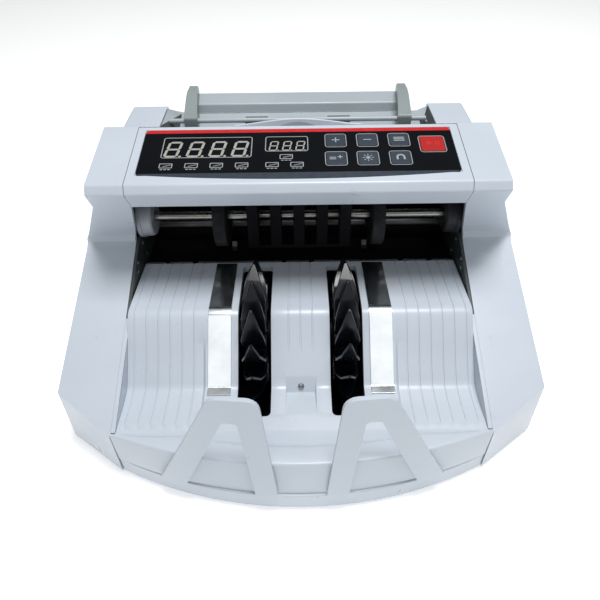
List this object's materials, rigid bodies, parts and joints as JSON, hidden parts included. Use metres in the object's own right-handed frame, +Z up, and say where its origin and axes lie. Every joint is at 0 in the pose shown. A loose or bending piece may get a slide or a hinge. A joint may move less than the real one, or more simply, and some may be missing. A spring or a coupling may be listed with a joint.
{
  "type": "banknote_counter",
  "caption": "Desktop banknote counting machine with a rear hopper, tilted key and display panel, feed wheels, paddle-wheel stacker and open front tray with note stops",
  "frame": {"origin": "on the ground, under the middle of the machine's bounding box", "axes": "+X to the machine's right as its user sees it from the front, +Y to its back, +Z up"},
  "size_m": [0.2788, 0.2462, 0.1575],
  "materials": {
    "casing_grey": "satin",
    "black_plastic": "matte",
    "dark_plastic": "matte",
    "black_rubber": "matte",
    "gloss_black": "gloss",
    "polished_steel": "polished",
    "painted_steel": "satin",
    "white_nylon": "satin",
    "key_grey": "satin",
    "start_red": "satin",
    "display_smoke": "gloss",
    "board_green": "satin",
    "motor_can": "satin"
  },
  "bodies": {
    "chassis": {"base_pan": "casing_grey", "batch_display": "display_smoke", "control_board": "board_green", "control_panel_housing": "casing_grey", "count_display": "display_smoke", "feed_belt": "black_rubber", "front_left_foot": "black_rubber", "front_right_foot": "black_rubber", "front_shell": "casing_grey", "guide_rail": "polished_steel", "hopper_back": "casing_grey", "hopper_floor": "casing_grey", "inner_cowl": "black_plastic", "left_feed_bush": "white_nylon", "left_frame_plate": "painted_steel", "left_note_stop": "casing_grey", "left_side_cover": "casing_grey", "left_wear_strip": "polished_steel", "main_board": "board_green", "main_motor": "motor_can", "membrane_overlay": "gloss_black", "power_inlet": "black_plastic", "rear_cover": "casing_grey", "rear_left_foot": "black_rubber", "rear_right_foot": "black_rubber", "right_feed_bush": "dark_plastic", "right_frame_plate": "painted_steel", "right_note_stop": "casing_grey", "right_side_cover": "casing_grey", "right_wear_strip": "polished_steel", "separator_comb": "black_plastic", "stacker_belt": "black_rubber", "stacker_motor": "motor_can", "stacker_tray": "casing_grey"},
    "feed_drive": {"feed_shaft": "polished_steel", "left_feed_wheel": "black_rubber", "right_feed_wheel": "black_rubber", "feed_pulley": "dark_plastic"},
    "pinch_rollers": {"pinch_shaft": "polished_steel"},
    "pickup_rollers": {"pickup_shaft": "polished_steel", "left_pickup_roller": "black_rubber", "right_pickup_roller": "black_rubber"},
    "main_motor_rotor": {"main_motor_pulley": "polished_steel"},
    "stacker": {"stacker_shaft": "polished_steel", "left_paddle_wheel": "gloss_black", "right_paddle_wheel": "gloss_black", "stacker_pulley": "dark_plastic"},
    "stacker_motor_rotor": {"stacker_motor_pulley": "polished_steel"},
    "left_guide": {"left_note_guide": "casing_grey"},
    "right_guide": {"right_note_guide": "casing_grey"},
    "rocker": {"power_rocker": "dark_plastic"},
    "thickness_screw": {"thickness_knob": "dark_plastic"},
    "key_add_cap": {"key_add": "key_grey"},
    "key_batch_cap": {"key_batch": "key_grey"},
    "key_light_check_cap": {"key_light_check": "key_grey"},
    "key_magnet_check_cap": {"key_magnet_check": "key_grey"},
    "key_minus_cap": {"key_minus": "key_grey"},
    "key_plus_cap": {"key_plus": "key_grey"},
    "key_start_cap": {"key_start": "start_red"}
  },
  "joints": [
    {"name": "feed_spin", "type": "hinge", "parent": "chassis", "child": "feed_drive", "pos_m": [0, 0.031, 0.0924], "axis": [1, 0, 0], "continuous": true},
    {"name": "pinch_spin", "type": "hinge", "parent": "chassis", "child": "pinch_rollers", "pos_m": [0, 0.0494, 0.0732], "axis": [1, 0, 0], "continuous": true},
    {"name": "pickup_spin", "type": "hinge", "parent": "chassis", "child": "pickup_rollers", "pos_m": [0, 0.0542, 0.1268], "axis": [1, 0, 0], "continuous": true},
    {"name": "main_motor_spin", "type": "hinge", "parent": "chassis", "child": "main_motor_rotor", "pos_m": [0, 0.078, 0.038], "axis": [1, 0, 0], "continuous": true},
    {"name": "stacker_spin", "type": "hinge", "parent": "chassis", "child": "stacker", "pos_m": [0, -0.0336, 0.05], "axis": [1, 0, 0], "continuous": true},
    {"name": "stacker_motor_spin", "type": "hinge", "parent": "chassis", "child": "stacker_motor_rotor", "pos_m": [0, 0.022, 0.028], "axis": [1, 0, 0], "continuous": true},
    {"name": "left_guide_slide", "type": "slide", "parent": "chassis", "child": "left_guide", "axis": [1, 0, 0], "range_m": [0, 0.022]},
    {"name": "right_guide_slide", "type": "slide", "parent": "chassis", "child": "right_guide", "axis": [-1, 0, 0], "range_m": [0, 0.022]},
    {"name": "rocker_tilt", "type": "hinge", "parent": "chassis", "child": "rocker", "pos_m": [0.037, 0.11, 0.0303], "axis": [1, 0, 0], "range_deg": [0, 10]},
    {"name": "thickness_turn", "type": "hinge", "parent": "chassis", "child": "thickness_screw", "pos_m": [0, 0.112, 0.055], "axis": [0, 1, 0], "range_deg": [-180, 180]},
    {"name": "key_add_press", "type": "slide", "parent": "chassis", "child": "key_add_cap", "axis": [0, -0.1742, 0.9847], "range_m": [-0.0005, 0], "stiffness_N_per_m": 1500},
    {"name": "key_batch_press", "type": "slide", "parent": "chassis", "child": "key_batch_cap", "axis": [0, -0.1742, 0.9847], "range_m": [-0.0005, 0], "stiffness_N_per_m": 1500},
    {"name": "key_light_check_press", "type": "slide", "parent": "chassis", "child": "key_light_check_cap", "axis": [0, -0.1742, 0.9847], "range_m": [-0.0005, 0], "stiffness_N_per_m": 1500},
    {"name": "key_magnet_check_press", "type": "slide", "parent": "chassis", "child": "key_magnet_check_cap", "axis": [0, -0.1742, 0.9847], "range_m": [-0.0005, 0], "stiffness_N_per_m": 1500},
    {"name": "key_minus_press", "type": "slide", "parent": "chassis", "child": "key_minus_cap", "axis": [0, -0.1742, 0.9847], "range_m": [-0.0005, 0], "stiffness_N_per_m": 1500},
    {"name": "key_plus_press", "type": "slide", "parent": "chassis", "child": "key_plus_cap", "axis": [0, -0.1742, 0.9847], "range_m": [-0.0005, 0], "stiffness_N_per_m": 1500},
    {"name": "key_start_press", "type": "slide", "parent": "chassis", "child": "key_start_cap", "axis": [0, -0.1742, 0.9847], "range_m": [-0.0005, 0], "stiffness_N_per_m": 1500}
  ],
  "couplings": [
    {"joint": "pinch_spin", "follows": "feed_spin", "ratio": -3.3333},
    {"joint": "pickup_spin", "follows": "feed_spin", "ratio": 1},
    {"joint": "main_motor_spin", "follows": "feed_spin", "ratio": 1.25},
    {"joint": "stacker_motor_spin", "follows": "stacker_spin", "ratio": 1.25}
  ]
}
